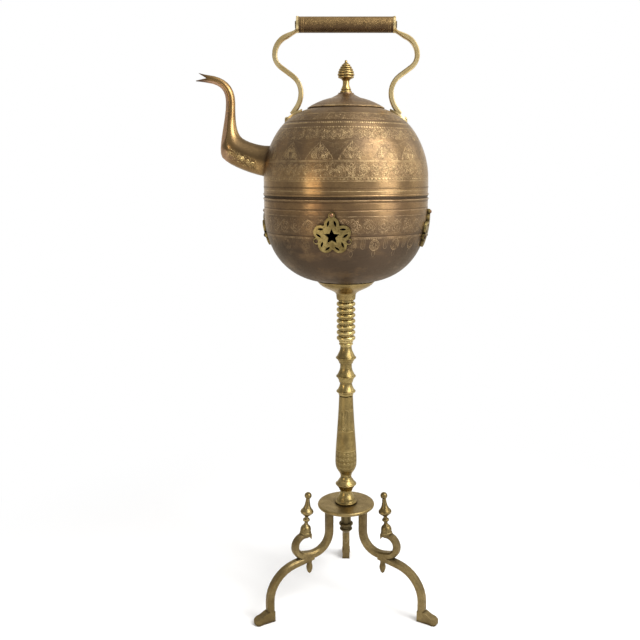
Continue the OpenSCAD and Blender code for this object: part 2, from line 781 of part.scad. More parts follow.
module spout() {
    n = len(spout_rings);
    outside = loops(0);
    inside = loops(spout_wall);
    points = concat([for (loop = outside) each loop], [for (loop = inside) each loop]);
    inner = n * sides;
    faces = concat(
        [for (j = [0:n - 2], k = [0:sides - 1], tri = [0, 1]) let (k2 = (k + 1) % sides)
            tri == 0 ? [j * sides + k, (j + 1) * sides + k, (j + 1) * sides + k2]
                     : [j * sides + k, (j + 1) * sides + k2, j * sides + k2]],
        [for (j = [0:n - 2], k = [0:sides - 1], tri = [0, 1]) let (k2 = (k + 1) % sides)
            tri == 0 ? [inner + j * sides + k, inner + (j + 1) * sides + k2, inner + (j + 1) * sides + k]
                     : [inner + j * sides + k, inner + j * sides + k2, inner + (j + 1) * sides + k2]],
        [for (end = [0, n - 1], k = [0:sides - 1], tri = [0, 1]) let (
            k2 = (k + 1) % sides, a = end * sides + k, b = end * sides + k2,
            quad = tri == 0 ? [a, b, inner + b] : [a, inner + b, inner + a]
        ) end == 0 ? quad : [quad[2], quad[1], quad[0]]]
    );
    notch = throat_out + [-1.4, 5.6];
    end_x = lower_tip[0] - 3;
    end_z = lower_tip[1] + 0.2;
    spread = (notch[0] - end_x) / (notch[0] - upper_tip[0]);
    color(BRONZE) translate([spout_o[0], 0, spout_o[1]]) difference() {
        polyhedron(points, faces, convexity = 6);
        rotate([90, 0, 0]) linear_extrude(40, center = true)
            polygon([notch, [end_x, end_z + beak_gape * spread], [end_x, end_z]]);
    }
}

// Handle

// Ears of the arms: places of the rivets, turned so that +Z leaves the shoulder
ear_rivet = arm_waist + 17.8;

module ear_rivet_places() {
    for (side = [0, 180]) rotate(side) translate([ear_rivet, 0, shoulder_z(ear_rivet)])
        rotate([0, asin((ear_rivet - crown_x) / crown_r), 0]) children();
}

// The arm in the XZ plane: plate at the grip, elbow, wide bend, waist and the last curve down to the ear
module handle_arm() {
    ear_t = 3;
    elbow_turn = 70;
    bow_r = 25;
    lower_r = 19;
    waist_r = 26.5;
    elbow_r = 8.4;
    plate_h = 12;
    top = [arm_x, grip_z + grip_r];
    bow_top = [arm_out - bow_r * (1 - cos(elbow_turn)), mouth_z + arm_out_rise + bow_r * sin(elbow_turn)];
    elbow_end = [top[0] + elbow_r * (1 - cos(elbow_turn)), top[1] - plate_h - elbow_r * sin(elbow_turn)];
    reach = bow_top - elbow_end;
    c1 = [arm_out - lower_r, mouth_z + arm_out_rise];
    c2 = [arm_waist + waist_r, mouth_z + arm_waist_rise];
    gap = c2 - c1;
    dist = norm(gap);
    straight = sqrt(pow(dist, 2) - pow(lower_r + waist_r, 2));
    lower_turn = asin((lower_r + waist_r) / dist) - 90 - atan2(gap[1], gap[0]);
    line = concat(
        stations([top[0], top[1], -90, plate_t], [[plate_h, 0, plate_t], [elbow_r, elbow_turn, plate_t + 0.8]]),
        stations([bow_top[0], bow_top[1], elbow_turn - 90, arm_w], [
            [bow_r, -elbow_turn, arm_w], [lower_r, -lower_turn, arm_w], [straight, 0, arm_w],
            [waist_r, lower_turn, arm_w], [33, 36, arm_w], [10, 0, arm_w]
        ])
    );
    color(BRIGHT) difference() {
        union() {
            // Round plate over the end of the grip, with a spigot inside it
            translate([arm_x - plate_t / 2, 0, grip_z]) rotate([0, 90, 0]) cylinder(r = grip_r + 0.2, h = plate_t);
            translate([arm_x - plate_t / 2 - 5, 0, grip_z]) rotate([0, 90, 0])
                cylinder(r = grip_r - 1.6 - fit, h = 6);
            bar(line, arm_t, 1.2);
            // Leaf-shaped ear that follows the shoulder
            intersection() {
                translate([0, 0, mouth_z - 40]) linear_extrude(60) ear_leaf();
                rotate_extrude($fn = 192) kettle_outline(-ear_t);
            }
        }
        rotate_extrude($fn = 192) kettle_outline(-fit);
        translate([0, 0, grip_z]) rotate([0, 90, 0]) cylinder(r = handle_bore, h = 200);
        translate([arm_x + plate_t / 2, 0, grip_z]) rotate([0, 90, 0]) cylinder(r = washer_r + 0.2, h = 12);
        ear_rivet_places() translate([0, 0, -8]) cylinder(r = rivet_bore, h = 10 + ear_t);
    }
}

module ear_leaf() {
    intersection() {
        translate([arm_waist + 7.3, 13.5]) circle(20, $fn = 64);
        translate([arm_waist + 7.3, -13.5]) circle(20, $fn = 64);
        translate([arm_waist - 1, -10]) square([30, 20]);
    }
}

module handle_arm_right() handle_arm();
module handle_arm_left() mirror([1, 0, 0]) handle_arm();

module handle_rod() {
    end_x = arm_x + plate_t / 2;
    color(BRASS) translate([0, 0, grip_z]) rotate([0, 90, 0]) {
        cylinder(r = handle_rod_r, h = 2 * end_x + 1, center = true);
        for (side = [0, 180]) rotate([side, 0, 0]) translate([0, 0, end_x + 0.1])
            cylinder(r = washer_r, h = 1.6);
    }
}

module grip_sleeve() {
    color(BRONZE) translate([0, 0, grip_z]) rotate([0, 90, 0]) difference() {
        cylinder(r = grip_r, h = grip_len, center = true);
        cylinder(r = grip_r - 1.6, h = grip_len + 2, center = true);
    }
}

module handle_rivets() {
    color(BRIGHT) ear_rivet_places() rivet(3);
}

// Lid and its hinge

// Half profile of the lid's dome, its face moved inward by inset
module lid_outline(inset) {
    intersection() {
        translate([0, lid_c]) circle(lid_dome_r - inset, $fn = 192);
        translate([0, lid_z]) square([lid_r - 0.6, 60]);
    }
}

module lid_dome() {
    inner = flange_r - collar_t - 1;
    top = lid_c + lid_dome_r;
    bead_r = 0.8;
    color(BODY) rotate_extrude($fn = 192) difference() {
        union() {
            difference() {
                lid_outline(0);
                lid_outline(rim_t);
                translate([0, lid_z - 1]) square([inner, rim_t + 1]);
            }
            translate([0, top - 2.4]) profile([
                [20.5, 0], [18.6, 0.9], [15.6, 2.4], [12.6, 3.9], [10.6, 5.4], [10.2, 2.4 + lid_boss_h]
            ]);
            translate([inner, lid_z]) square([lid_r - bead_r - inner, rim_t]);
            translate([lid_r - bead_r, lid_z + rim_t - bead_r]) circle(bead_r, $fn = 32);
        }
        translate([0, lid_c + lid_dome_r - rim_t - 6]) square([2 + fit, 60]);
        intersection() {
            translate([0, lid_c]) circle(lid_dome_r - rim_t, $fn = 192);
            translate([0, top - 20]) square([22, 20]);
        }
    }
}

module lid_flange() {
    color(BODY) translate([0, 0, lid_z - lid_flange_h]) difference() {
        cylinder(r = flange_r, h = lid_flange_h);
        translate([0, 0, -1]) cylinder(r = flange_r - collar_t, h = lid_flange_h + 2);
    }
}

// Ridged acorn on a ringed neck, with a threaded stem through the lid
module lid_finial() {
    s = lid_knob_h / 41.4;
    stem = lid_boss_h + rim_t + 5;
    color(BRASS) translate([0, 0, lid_top + fit]) turned() {
        translate([0, -stem]) square([2, stem + 1]);
        profile([
            [7.8, 0], [7.8, 1.4 * s], [6.4, 1.8 * s], [5.6, 6.8 * s], [4.3, 10.2 * s], [4.3, 15 * s],
            [6, 17.2 * s], [9.4, 19 * s], [9.6, 25.4 * s]
        ]);
        bead(1.5 * s, 7.8, 1.4 * s);
        bead(4.6 * s, 6.8, 1.2 * s);
        bead(20 * s, 10.4, 1.3 * s);
        bead(23.2 * s, 11.1, 1.7 * s);
        bead(26.4 * s, 10.4, 1.5 * s);
        bead(29.3 * s, 9.2, 1.45 * s);
        bead(32.1 * s, 7.6, 1.35 * s);
        bead(34.7 * s, 5.8, 1.25 * s);
        profile([[5, 34.4 * s], [3.6, 37 * s], [1.8, 38.4 * s], [1.7, 40.6 * s], [0.8, lid_knob_h]]);
    }
}

module finial_nut() {
    z = lid_c + sqrt(pow(lid_dome_r - rim_t, 2) - pow(5, 2)) - fit - 3;
    color(BRASS) translate([0, 0, z]) difference() {
        cylinder(r = 5, h = 3, $fn = 6);
        translate([0, 0, -1]) cylinder(r = 2 + fit, h = 5);
    }
}

module barrel(x0, x1) {
    translate([x0, hinge_y, hinge_z]) rotate([0, 90, 0]) cylinder(r = barrel_r, h = x1 - x0);
}

// Leaf on the lid: the middle knuckle and a tongue that lies on the dome
module hinge_leaf() {
    tongue_w = 2 * knuckle - 1;
    color(BRIGHT) difference() {
        union() {
            barrel(-knuckle + 0.15, knuckle - 0.15);
            intersection() {
                translate([-tongue_w / 2, lid_r - 14, lid_z]) cube([tongue_w, 14.6, 14]);
                rotate_extrude($fn = 192) lid_outline_out(1.3, lid_r - 2.6);
            }
            translate([-tongue_w / 2, lid_r - 3.6, hinge_z + 0.4]) cube([tongue_w, 5.6, 1.8]);
        }
        rotate_extrude($fn = 192) lid_outline_out(fit, lid_r + 0.4);
        translate([-barrel_w, lid_r - 20, lid_z - 1]) cube([2 * barrel_w, 17.4, rim_t + 1 + fit]);
        translate([0, hinge_y, hinge_z]) rotate([0, 90, 0]) cylinder(r = hinge_pin_r + run, h = barrel_w, center = true);
    }
}

// The dome's half profile grown outward, as far as the given reach from the axis
module lid_outline_out(grow, reach) {
    intersection() {
        translate([0, lid_c]) circle(lid_dome_r + grow, $fn = 192);
        translate([0, lid_z + rim_t]) square([reach, 60]);
    }
}

// Bracket on the shoulder: the two outer knuckles on a curved plate
module hinge_bracket() {
    plate_w = barrel_w;
    color(BRIGHT) difference() {
        union() {
            barrel(knuckle + 0.15, 2 * knuckle);
            barrel(-2 * knuckle, -knuckle - 0.15);
            intersection() {
                translate([-plate_w / 2, hinge_y + 2.6, mouth_z - 30]) cube([plate_w, 15, 60]);
                rotate_extrude($fn = 192) kettle_outline(-1.8);
            }
            for (side = [-1, 1]) translate([side * 1.5 * knuckle, 0, 0])
                translate([-knuckle / 2 + 0.15, hinge_y, mouth_z - 6]) cube([knuckle - 0.3, 5, 6.4]);
        }
        rotate_extrude($fn = 192) kettle_outline(-fit);
        translate([0, hinge_y, hinge_z]) rotate([0, 90, 0]) cylinder(r = hinge_pin_r + run, h = 2 * barrel_w, center = true);
    }
}

module hinge_pin() {
    color(STEEL) translate([0, hinge_y, hinge_z]) rotate([0, 90, 0])
        cylinder(r = hinge_pin_r, h = barrel_w + 1.6, center = true);
}

base_disc();
leg_left();
leg_right();
leg_rear();
leg_finial_left();
leg_finial_right();
leg_finial_rear();
bell_foot();
baluster();
knop_section();
ring_section();
cup();
tie_rod();
base_nut();
bowl_nut();
bowl();
rosette_front();
rosette_right();
rosette_rear();
rosette_left();
rosette_rivets();
burner_seat();
burner_font();
burner_collar();
burner_wick();
kettle_shell();
kettle_base();
spout();
mouth_ring();
handle_arm_left();
handle_arm_right();
handle_rod();
grip_sleeve();
handle_rivets();
hinge_bracket();
hinge_pin();
lid_dome();
lid_flange();
lid_finial();
finial_nut();
hinge_leaf();
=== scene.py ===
# Spirit kettle on a turned stand, dressed for the picture. Metres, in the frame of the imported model.
import math
import bmesh
import bpy
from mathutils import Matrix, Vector


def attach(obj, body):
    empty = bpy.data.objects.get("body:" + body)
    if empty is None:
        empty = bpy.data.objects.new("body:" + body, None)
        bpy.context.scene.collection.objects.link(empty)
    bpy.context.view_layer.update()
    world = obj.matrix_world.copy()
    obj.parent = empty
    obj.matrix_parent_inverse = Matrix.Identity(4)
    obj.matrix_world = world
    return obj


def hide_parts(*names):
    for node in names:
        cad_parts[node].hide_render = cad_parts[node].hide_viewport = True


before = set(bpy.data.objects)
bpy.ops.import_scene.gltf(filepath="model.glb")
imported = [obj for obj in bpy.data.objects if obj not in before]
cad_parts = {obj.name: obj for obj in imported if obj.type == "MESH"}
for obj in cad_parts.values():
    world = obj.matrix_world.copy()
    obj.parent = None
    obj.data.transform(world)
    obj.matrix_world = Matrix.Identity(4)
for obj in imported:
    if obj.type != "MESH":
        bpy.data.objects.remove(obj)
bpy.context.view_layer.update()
scene = bpy.context.scene
scene.view_settings.view_transform = "Standard"

# Camera: level with the kettle's lower band, a metre in front, looking a little down. The picture is
# 640 pixels wide and the column stands 26 of them right of its middle.
camera = bpy.data.objects.new("camera", bpy.data.cameras.new("camera"))
camera.data.lens = 43.6
camera.data.sensor_width = 36
camera.data.shift_x = -26 / 640
camera.location = (0, -1.058, 0.620)
camera.rotation_euler = (math.radians(90 - 10.7), 0, 0)
scene.collection.objects.link(camera)
scene.camera = camera


# Light: a tall window on the right with a curtain beside it, a low window on the left beside a narrow
# gap, a doorway behind on the right, and a room that is paler on that side.
def softbox(name, stand, target, wide, tall, watts, colour=(1, 1, 1)):
    """An evenly lit rectangle, wide by tall in metres, that faces the target."""
    lamp = bpy.data.objects.new(name, bpy.data.lights.new(name, "AREA"))
    lamp.data.shape = "RECTANGLE"
    lamp.data.size = wide
    lamp.data.size_y = tall
    lamp.data.energy = watts
    lamp.data.color = colour
    lamp.location = stand
    lamp.rotation_euler = (Vector(target) - Vector(stand)).to_track_quat("-Z", "Y").to_euler()
    scene.collection.objects.link(lamp)


softbox("window", (1.08, -0.66, 1.22), (0, 0, 0.72), 0.66, 1.35, 19)
softbox("curtain", (0.74, -1.02, 1.62), (0, 0, 0.68), 0.80, 0.70, 10)
softbox("low_window", (-1.00, -1.11, 0.56), (0, 0, 0.58), 0.40, 0.62, 2.7, (1.0, 0.77, 0.52))
softbox("gap", (-1.17, -0.95, 0.62), (0, 0, 0.60), 0.035, 0.46, 1.5, (1.0, 0.90, 0.70))
softbox("doorway", (1.15, 0.45, 1.15), (0, 0, 0.7), 0.50, 0.90, 2.4)
softbox("ceiling", (0.45, -0.30, 2.2), (0, 0, 0.5), 0.8, 0.8, 4)


def feed(tree, node, inputs):
    """Sets each named or numbered input of a node to a value, or links it to another node's output."""
    for name, value in inputs.items():
        value = getattr(value, "socket", value)
        if isinstance(value, bpy.types.NodeSocket):
            tree.links.new(value, node.inputs[name])
        else:
            node.inputs[name].default_value = value


def add_node(tree, kind, inputs=None, **settings):
    """A new node of the given kind, with its settings and its inputs."""
    node = tree.nodes.new("ShaderNode" + kind)
    for name, value in settings.items():
        setattr(node, name, value)
    feed(tree, node, inputs or {})
    return node


# The camera sees the room white. Shiny faces see it dimmer away from its bright side, and dull faces
# take an even light from it.
bright_side = (0.75, 0.66, 0.05)
dimmest, dull_level = 0.48, 0.72
room = bpy.data.worlds.new("room")
room.use_nodes = True
scene.world = room
tree = room.node_tree
tree.nodes.clear()
ray = add_node(tree, "LightPath").outputs
seen = add_node(tree, "Math", {0: ray["Is Camera Ray"], 1: ray["Is Transmission Ray"]}, operation="MAXIMUM")
direction = add_node(tree, "TexCoord").outputs["Generated"]
toward = add_node(tree, "VectorMath", {0: direction, 1: bright_side}, operation="DOT_PRODUCT")
depth = add_node(tree, "MapRange", {
    "Value": toward.outputs["Value"], "From Min": -0.90, "From Max": 0.40, "To Min": dimmest, "To Max": 1.0,
}, interpolation_type="SMOOTHSTEP")
soft = add_node(tree, "Mix", {"Factor": ray["Is Glossy Ray"], "A": dull_level, "B": depth.outputs["Result"]})
level = add_node(tree, "Mix", {"Factor": seen.outputs[0], "A": soft.outputs["Result"], "B": 1.0})
glow = add_node(tree, "Background", {"Color": (1, 1, 1, 1), "Strength": level.outputs["Result"]})
add_node(tree, "OutputWorld", {"Surface": glow.outputs[0]})

# Floor: a pale sheet that takes the shadow near the feet, within 0.20 m of the column, and is as white
# as the background from 0.75 m on.
sheet_from, white_from = 0.20, 0.75
bm = bmesh.new()
bmesh.ops.create_grid(bm, x_segments=1, y_segments=1, size=4)
mesh = bpy.data.meshes.new("floor")
bm.to_mesh(mesh)
bm.free()
floor = bpy.data.objects.new("floor", mesh)
scene.collection.objects.link(floor)
paper = bpy.data.materials.new("paper")
paper.use_nodes = True
tree = paper.node_tree
tree.nodes.clear()
where = add_node(tree, "TexCoord").outputs["Object"]
far = add_node(tree, "VectorMath", {0: where}, operation="LENGTH")
fade = add_node(tree, "MapRange", {
    "Value": far.outputs["Value"], "From Min": sheet_from, "From Max": white_from,
}, interpolation_type="SMOOTHSTEP")
to_camera = add_node(tree, "LightPath").outputs["Is Camera Ray"]
shown = add_node(tree, "Math", {0: fade.outputs["Result"], 1: to_camera}, operation="MULTIPLY")
sheet = add_node(tree, "BsdfDiffuse", {"Color": (0.93, 0.93, 0.93, 1)})
white = add_node(tree, "Emission")
blend = add_node(tree, "MixShader", {0: shown.outputs[0], 1: sheet.outputs[0], 2: white.outputs[0]})
add_node(tree, "OutputMaterial", {"Surface": blend.outputs[0]})
mesh.materials.append(paper)


# Legs: three cast brass bars, each a shank that curls into a scroll and an arch down to a slipper foot.
# They are cast, filed and polished, so the arrises shine, and their corners take brown dirt and painted
# shade.
class Reading:
    """A number read off a surface at each of its points, which takes part in ordinary sums."""

    def __init__(self, tree, socket):
        self.tree = tree
        self.socket = socket

    def make(self, operation, *others):
        """The outcome of an operation on this number and the others."""
        node = add_node(self.tree, "Math", dict(enumerate((self, *others))), operation=operation)
        return Reading(self.tree, node.outputs[0])

    def __add__(self, other):
        return self.make("ADD", other)

    def __sub__(self, other):
        return self.make("SUBTRACT", other)

    def __mul__(self, other):
        return self.make("MULTIPLY", other)

    def __truediv__(self, other):
        return self.make("DIVIDE", other)

    def from_one(self):
        """One less this number."""
        return self.make("MULTIPLY_ADD", -1.0, 1.0)

    def size(self):
        return self.make("ABSOLUTE")

    def whole(self):
        return self.make("FLOOR")

    def part(self):
        """How far this number is past the whole number below it."""
        return self.make("FRACT")

    def repeat(self, pitch, shift=0.0):
        """The distance from the middle of the cell it falls in, where the cells are a pitch wide."""
        return ((self / pitch + shift).part() - 0.5) * pitch

    def most(self, *others):
        """The greatest of this number and the others."""
        total = self
        for other in others:
            total = total.make("MAXIMUM", other)
        return total

    def fade(self, low, high):
        """From 0 at low to 1 at high, or from 1 down to 0 where high is the smaller."""
        node = add_node(self.tree, "MapRange", {
            "Value": self, "From Min": min(low, high), "From Max": max(low, high),
            "To Min": float(low > high), "To Max": float(low < high),
        }, interpolation_type="SMOOTHSTEP")
        return Reading(self.tree, node.outputs["Result"])

    def stroke(self, half):
        """A drawn line of the given half width, where this is the distance from its middle."""
        return self.size().fade(half * 1.35, half * 0.55)

    def between(self, low, high, edge=0.3):
        """1 from low to high and 0 outside."""
        return self.fade(low - edge, low + edge) * self.fade(high + edge, high - edge)


def spot(tree, kind="Object"):
    """The place of a point of the piece in metres or, with Normal, the way its face looks."""
    return add_node(tree, "TexCoord").outputs[kind]


def axes(tree, vector):
    """The X, Y and Z of a vector."""
    split = add_node(tree, "SeparateXYZ", {0: vector})
    return [Reading(tree, split.outputs[axis]) for axis in "XYZ"]


def place(tree):
    """Where a point of the piece is: X, Y and Z in millimetres."""
    scaled = add_node(tree, "VectorMath", {0: spot(tree), "Scale": 1000.0}, operation="SCALE")
    return axes(tree, scaled.outputs["Vector"])


def height(tree):
    """Where a point of the piece is above the ground, in millimetres."""
    return place(tree)[2]


def mixed(tree, share, first, second):
    """The first colour, going over to the second by the share."""
    first, second = [(*colour, 1) if isinstance(colour, tuple) else colour for colour in (first, second)]
    return add_node(tree, "Mix", {0: share, 6: first, 7: second}, data_type="RGBA").outputs[2]


def noise(tree, scale, detail, roughness=0.5, distortion=0.0, stretch=(1, 1, 1)):
    """The outputs of a pattern that wanders over the piece, with scale of its patches in a metre."""
    turned = add_node(tree, "Mapping", {"Vector": spot(tree), "Scale": stretch})
    return add_node(tree, "TexNoise", {
        "Vector": turned.outputs["Vector"], "Scale": scale, "Detail": detail, "Roughness": roughness,
        "Distortion": distortion,
    }).outputs


def clouds(tree, size, low, high, detail=3.0, stretch=(1, 1, 1)):
    """A share from 0 to 1 that wanders over the piece in patches of the given size in millimetres."""
    patches = noise(tree, 1000 / size, detail, roughness=0.6, stretch=stretch)["Fac"]
    return Reading(tree, patches).fade(low, high)


def old_brass(name, dirt_and_shade, face, bright, rough, pits=0.2, shade=1.6, chased=None, line=None, cut=0.0003,
              film_and_shade=None, film_and_shade_colour=None, metal=1.0, soot_and_shade=None, lined=None, brushed=False):
    """Old brass: an uneven face, rubbed and scratched places, grime and painted shade in the corners.

    chased(tree) gives raised lines and a sunk ground; film_and_shade(tree) gives the share of a matt film,
    with painted shade on some pieces, in film_and_shade_colour; lined(tree) the share of a tin lining; and
    soot_and_shade(tree) that of a dark coat, soot on some pieces and a painted shadow on others. A brushed
    piece was burnished as it turned.
    """
    material = bpy.data.materials.new(name)
    material.use_nodes = True
    tree = material.node_tree
    shader = tree.nodes["Principled BSDF"]
    corner = add_node(tree, "AmbientOcclusion", {"Distance": 0.005}, samples=6)
    corner_shade = Reading(tree, corner.outputs["AO"]).make("POWER", shade).from_one()
    broad = clouds(tree, 38, 0.34, 0.66)
    rubbed = clouds(tree, 16, 0.46, 0.74)
    specks = clouds(tree, 2.4, 0.46, 0.72, 2.0)
    grain = clouds(tree, 5.0, 0.40, 0.62, 2.0, (1, 1, 7))
    worn = Reading(tree, add_node(tree, "Attribute", attribute_name="arris").outputs["Fac"])
    colour = mixed(tree, broad * 0.45, face, bright)
    colour = mixed(tree, (rubbed * 0.35).most(worn * 0.8), colour, bright)
    colour = mixed(tree, grain * 0.16, colour, dirt_and_shade)
    colour = mixed(tree, specks * (0.1 + pits), colour, dirt_and_shade)
    relief = specks * -pits
    coarse = specks * 0.10 + grain * 0.05 + rough
    if film_and_shade:
        # Here the film's share also carries painted shade, on the legs, the bowl and the sleeve.
        film = film_and_shade(tree)
        colour = mixed(tree, film, colour, film_and_shade_colour)
        coarse = coarse + film * 0.16
    if chased:
        raised, sunk = chased(tree)
        uneven = clouds(tree, 9, 0.36, 0.64) * 0.65 + 0.15
        colour = mixed(tree, sunk * 0.50, colour, dirt_and_shade)
        colour = mixed(tree, raised * uneven, colour, line or bright)
        relief = relief + raised - sunk * 0.8
        coarse = coarse + sunk * 0.10
    if lined:
        tin = mixed(tree, broad, (0.20, 0.19, 0.17), (0.42, 0.41, 0.38))
        colour = mixed(tree, lined(tree), colour, tin)
    # Painted shade: the corners found by ambient occlusion are darkened towards the dirt colour.
    colour = mixed(tree, (corner_shade * 1.25).make("MINIMUM", 1.0), colour, dirt_and_shade)
    if soot_and_shade:
        # The dark coat is soot inside the bowl and on the base, a painted shadow along the kettle's seam, and
        # a plain darkening on the spout and the lower rivets.
        coat = soot_and_shade(tree)
        black = (0.02, 0.017, 0.014)
        colour = mixed(tree, coat, colour, black)
        coarse = coarse + coat * 0.3
    bump = add_node(tree, "Bump", {"Strength": 0.6, "Distance": cut, "Height": relief})
    feed(tree, shader, {
        "Base Color": colour, "Metallic": metal, "Specular Tint": (0.98, 0.90, 0.78, 1),
        "Roughness": coarse - rubbed * 0.05 + corner_shade * 0.25, "Normal": bump.outputs["Normal"],
    })
    if brushed:
        around = add_node(tree, "VectorMath", {0: (0, 0, 1), 1: spot(tree)}, operation="CROSS_PRODUCT")
        feed(tree, shader, {
            "Tangent": around.outputs["Vector"], "Anisotropic": 0.7, "Anisotropic Rotation": 0.25,
        })
    return material


def finished(node, body, material, edge=32, soften=0.0):
    """The node's own shape with its faces joined and its curves shaded smoothly.

    An arris is an edge sharper than edge, in degrees. Where soften is given, in metres, each arris is
    rounded by it and marked, so that old_brass can show it rubbed.
    """
    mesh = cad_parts[node].data.copy()
    bm = bmesh.new()
    bm.from_mesh(mesh)
    bmesh.ops.remove_doubles(bm, verts=bm.verts, dist=2e-6)
    if soften:
        bmesh.ops.dissolve_limit(bm, angle_limit=math.radians(0.4), verts=bm.verts, edges=bm.edges)
        arris = bm.faces.layers.float.new("arris")
        sharp = [line for line in bm.edges
                 if len(line.link_faces) == 2 and line.calc_face_angle(0) > math.radians(edge)]
        rounded = bmesh.ops.bevel(bm, geom=sharp, offset=soften, offset_type="OFFSET", segments=2,
                                  profile=0.5, affect="EDGES", clamp_overlap=True, material=-1)
        for face in rounded["faces"]:
            face[arris] = 1.0
    for face in bm.faces:
        face.smooth = True
    for line in bm.edges:
        line.smooth = len(line.link_faces) == 2 and line.calc_face_angle(math.pi) < math.radians(edge + 4)
    bm.to_mesh(mesh)
    bm.free()
    mesh.materials.clear()
    mesh.materials.append(material)
    piece = bpy.data.objects.new(node + "_finished", mesh)
    scene.collection.objects.link(piece)
    if soften:
        even = piece.modifiers.new("even_shading", "WEIGHTED_NORMAL")
        even.keep_sharp = True
    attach(piece, body)
    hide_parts(node)


def leg_film_and_shade(tree):
    """Patches of brown, and painted shade that grows up towards the disc above."""
    return clouds(tree, 20, 0.35, 0.65, 4.0) * 0.45 + height(tree).fade(96.0, 140.0) * 0.45


leg_brass = old_brass("cast_leg_brass", (0.045, 0.032, 0.015), (0.165, 0.117, 0.047), (0.36, 0.27, 0.125),
                      0.34, film_and_shade=leg_film_and_shade, film_and_shade_colour=(0.082, 0.055, 0.026))
for side in ("left", "right", "rear"):
    finished("leg_" + side, "stand", leg_brass, soften=0.0005)

# Leg finials: three small turned brass knobs, screwed down on the scrolls through a tenon. They are
# pitted, darkened between their beads with dirt and painted shade, and bright on the beads themselves.
finial_brass = old_brass("leg_finial_brass", (0.045, 0.030, 0.012), (0.145, 0.102, 0.039), (0.38, 0.29, 0.13),
                         0.32, pits=0.3)
for side in ("left", "right", "rear"):
    finished("leg_finial_" + side, "stand", finial_brass, soften=0.0003)

# Disc and nut: a brass disc with a rounded edge holds the three legs, and a long nut hangs below it.
# Both were turned; the disc is browned by handling, and the nut is painted dark for the shade under the disc.
disc_brass = old_brass("disc_brass", (0.06, 0.042, 0.018), (0.225, 0.160, 0.064), (0.40, 0.30, 0.135), 0.36)
finished("base_disc", "stand", disc_brass, soften=0.0005)
shaded_nut_brass = old_brass("shaded_hanging_nut_brass", (0.022, 0.018, 0.010), (0.085, 0.063, 0.029),
                      (0.21, 0.160, 0.076), 0.38)
finished("base_nut", "stand", shaded_nut_brass, soften=0.0004)


# Column: turned brass sections and a cup threaded on one steel rod, with a nut inside the bowl, bright
# on their beads and darkened in their grooves with dirt and painted shade. The long baluster is chased in two
# zones.
def scroll(tree, x, y, gap, reach, half):
    """A line that winds out from the middle, its turns a gap apart, as far as the reach."""
    r = (x * x + y * y).make("SQRT")
    turn = y.make("ARCTAN2", x) / (2 * math.pi)
    return ((r / gap + turn).part() - 0.5).stroke(half / gap) * r.fade(reach + 0.2, reach - 0.2)


def round_axis(tree, radius):
    """Distance round the object's axis at the given radius, and height, both in millimetres."""
    x, y, z = place(tree)
    return x.make("ARCTAN2", y * -1.0) * radius, z


def punched(tree, size):
    """Small punch marks all over, the given size apart in millimetres."""
    cells = add_node(tree, "TexVoronoi", {"Vector": spot(tree), "Scale": 1000 / size})
    return Reading(tree, cells.outputs["Distance"]).fade(0.42, 0.22)


def hoops(up, *heights, half=0.4):
    """Lines round the piece at the given heights."""
    lines = [(up - line).stroke(half) for line in heights]
    return lines[0].most(*lines[1:])


def feathered(tree):
    """Eight upright leaves with slanting veins in the upper zone and pairs of curls in the lower one."""
    radius, leaves, leaf_half, vein_gap, curl_pitch = 14.0, 8, 4.6, 3.4, 7.0
    across, up = round_axis(tree, radius)
    x = across.repeat(2 * math.pi * radius / leaves)
    veins = (((up + x.size() * 1.1) / vein_gap).part() - 0.5).stroke(0.13)
    leaf = (x.size() - leaf_half).stroke(0.35).most(x.stroke(0.3), veins * x.size().fade(leaf_half, 4.2))
    upper = up.between(262.0, 291.0)
    curls = scroll(tree, x.size() - 2.4, up.repeat(curl_pitch), 1.5, 2.6, 0.3)
    lower = up.between(204.0, 231.0)
    lines = (leaf * upper).most(curls * lower, hoops(up, 260.8, 292.2, 232.2))
    return lines, (punched(tree, 1.2) * 0.4 + 0.6) * upper.most(lower) - lines * 0.6


def column_film(tree):
    """Brown patches that run a little way up the column."""
    return clouds(tree, 14, 0.42, 0.68, 4.0, (1, 1, 0.6)) * 0.6


# The column's dirt colour, which also paints the shade in its grooves and corners.
column_dirt_and_shade = (0.062, 0.042, 0.015)
column_brass = old_brass("turned_brass", column_dirt_and_shade, (0.23, 0.163, 0.054), (0.56, 0.43, 0.18), 0.27,
                         pits=0.22, shade=1.2, film_and_shade=column_film, film_and_shade_colour=(0.105, 0.075, 0.033))
ring_brass = old_brass("ringed_brass", column_dirt_and_shade, (0.36, 0.265, 0.095), (0.74, 0.59, 0.27), 0.25,
                       pits=0.12, shade=0.7)
cup_brass = old_brass("cup_brass", column_dirt_and_shade, (0.195, 0.133, 0.047), (0.40, 0.29, 0.12), 0.28, pits=0.2)
baluster_brass = old_brass("chased_baluster_brass", column_dirt_and_shade, (0.215, 0.150, 0.052), (0.38, 0.285, 0.115),
                           0.32, pits=0.2, chased=feathered, line=(0.42, 0.325, 0.14), cut=0.0005,
                           film_and_shade=column_film, film_and_shade_colour=(0.115, 0.082, 0.035))
for node in ("bell_foot", "knop_section", "bowl_nut"):
    finished(node, "stand", column_brass, soften=0.0003)
finished("ring_section", "stand", ring_brass, soften=0.0003)
finished("cup", "stand", cup_brass, soften=0.0003)
finished("baluster", "stand", baluster_brass, soften=0.0003)
steel = old_brass("tie_rod_steel", (0.05, 0.045, 0.04), (0.30, 0.29, 0.28), (0.52, 0.51, 0.50), 0.34)
finished("tie_rod", "stand", steel)


